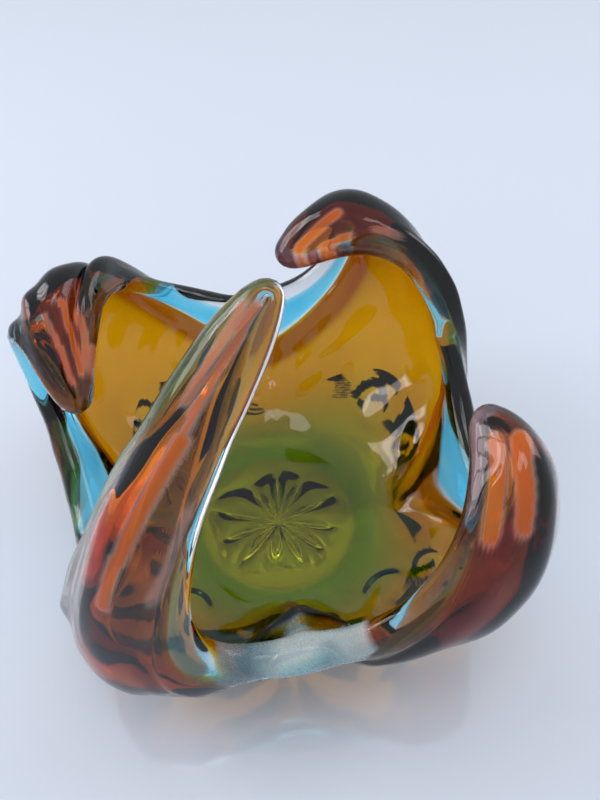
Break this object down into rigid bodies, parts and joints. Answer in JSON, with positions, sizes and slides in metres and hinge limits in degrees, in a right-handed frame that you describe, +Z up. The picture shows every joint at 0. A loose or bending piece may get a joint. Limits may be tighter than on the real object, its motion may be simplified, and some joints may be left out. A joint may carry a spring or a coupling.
{
  "type": "art glass bowl",
  "caption": "Free-form hot-worked glass bowl with tall curled lobes, amber inside over blue and clear casing, on a thick foot with a pressed star.",
  "frame": {"origin": "centre of the flat underside of the foot, on the surface the bowl stands on", "axes": "+Z up; +Y towards the back, between the two low back lobes; the tallest lobe leans in from the front left"},
  "size_m": [0.2403, 0.2418, 0.2135],
  "materials": {
    "star_foot": "clear green-tinted glass with a pressed star, polished",
    "clear_casing": "colourless outer gather, fire polished",
    "blue_layer": "transparent turquoise blue glass",
    "green_heart": "transparent green glass under the middle of the bowl",
    "orange_veil": "transparent orange-red glass, seen through the lobes",
    "amber_liner": "transparent amber glass, the inner face, fire polished"
  },
  "bodies": {
    "root": {"star_foot": "star_foot", "clear_casing": "clear_casing", "blue_layer": "blue_layer", "green_heart": "green_heart", "orange_veil": "orange_veil", "amber_liner": "amber_liner"}
  },
  "joints": []
}
